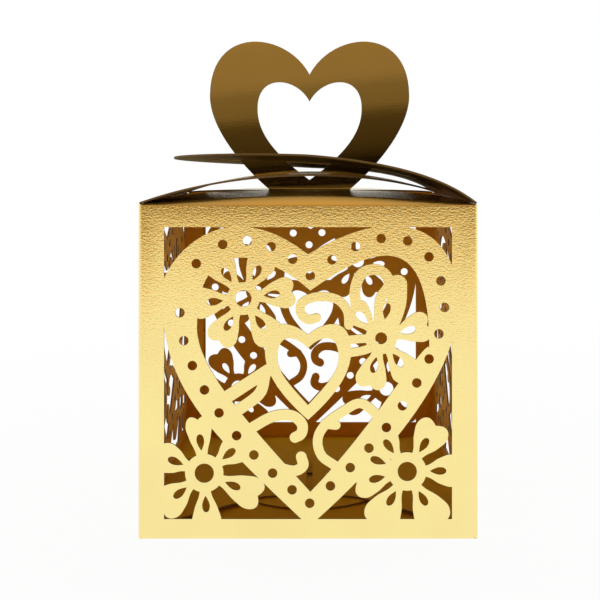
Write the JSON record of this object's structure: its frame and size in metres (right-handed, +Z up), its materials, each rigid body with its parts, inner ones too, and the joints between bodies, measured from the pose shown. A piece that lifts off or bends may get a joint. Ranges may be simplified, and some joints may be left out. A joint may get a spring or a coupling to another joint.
{
  "type": "laser-cut paper box",
  "caption": "Folded card party box with heart and daisy lattice walls, a slot-locked bottom, two bowed slotted lid flaps and upright heart handles.",
  "frame": {"origin": "middle of the box's footprint, on the surface it stands on", "axes": "+Z up through the heart handles, +X to the right, -Y is the front wall"},
  "size_m": [0.06, 0.06, 0.0917],
  "materials": {
    "pearl_card": "gold pearl coating on fine-grained card, satin with a metallic sheen",
    "adhesive": "dried clear adhesive film"
  },
  "bodies": {
    "carton": {"front_wall": "pearl_card", "right_wall": "pearl_card", "back_wall": "pearl_card", "left_wall": "pearl_card", "glue_tab": "pearl_card", "adhesive_strip": "adhesive"},
    "front_lid": {"front_lid_flap": "pearl_card"},
    "front_handle": {"front_heart_handle": "pearl_card"},
    "back_lid": {"back_lid_flap": "pearl_card"},
    "back_handle": {"back_heart_handle": "pearl_card"},
    "right_arch": {"right_arch_flap": "pearl_card"},
    "left_arch": {"left_arch_flap": "pearl_card"},
    "bottom_back": {"bottom_back_flap": "pearl_card", "bottom_tongue": "pearl_card"},
    "bottom_front": {"bottom_front_flap": "pearl_card"},
    "bottom_right": {"bottom_right_flap": "pearl_card"},
    "bottom_left": {"bottom_left_flap": "pearl_card"}
  },
  "joints": [
    {"name": "right_arch_fold", "type": "hinge", "parent": "carton", "child": "right_arch", "pos_m": [0.02975, 0, 0.05945], "axis": [0, 1, 0], "range_deg": [0, 115], "deforming": ["right_arch_flap"]},
    {"name": "left_arch_fold", "type": "hinge", "parent": "carton", "child": "left_arch", "pos_m": [-0.02975, 0, 0.05945], "axis": [0, -1, 0], "range_deg": [0, 115], "deforming": ["left_arch_flap"]},
    {"name": "front_lid_fold", "type": "hinge", "parent": "carton", "child": "front_lid", "pos_m": [0, -0.0296, 0.0592], "axis": [1, 0, 0], "range_deg": [0, 110]},
    {"name": "front_handle_fold", "type": "hinge", "parent": "front_lid", "child": "front_handle", "pos_m": [0, -0.0005, 0.06068], "axis": [1, 0, 0], "range_deg": [-88, 0]},
    {"name": "back_lid_fold", "type": "hinge", "parent": "carton", "child": "back_lid", "pos_m": [0, 0.0296, 0.0592], "axis": [-1, 0, 0], "range_deg": [0, 110]},
    {"name": "back_handle_fold", "type": "hinge", "parent": "back_lid", "child": "back_handle", "pos_m": [0, 0.0005, 0.06068], "axis": [-1, 0, 0], "range_deg": [-88, 0]},
    {"name": "bottom_back_fold", "type": "hinge", "parent": "carton", "child": "bottom_back", "pos_m": [0, 0.02958, 0], "axis": [1, 0, 0], "range_deg": [0, 120], "deforming": ["bottom_tongue"]},
    {"name": "bottom_front_fold", "type": "hinge", "parent": "carton", "child": "bottom_front", "pos_m": [0, -0.02958, 0.00043], "axis": [-1, 0, 0], "range_deg": [0, 79.2]},
    {"name": "bottom_right_fold", "type": "hinge", "parent": "carton", "child": "bottom_right", "pos_m": [0.02958, 0, 0.00164], "axis": [0, 1, 0], "range_deg": [0, 85]},
    {"name": "bottom_left_fold", "type": "hinge", "parent": "carton", "child": "bottom_left", "pos_m": [-0.02958, 0, 0.00164], "axis": [0, -1, 0], "range_deg": [0, 85]}
  ],
  "couplings": [
    {"joint": "front_handle_fold", "follows": "front_lid_fold", "ratio": -0.8},
    {"joint": "back_handle_fold", "follows": "back_lid_fold", "ratio": -0.8},
    {"joint": "bottom_front_fold", "follows": "bottom_back_fold", "ratio": 0.66}
  ]
}
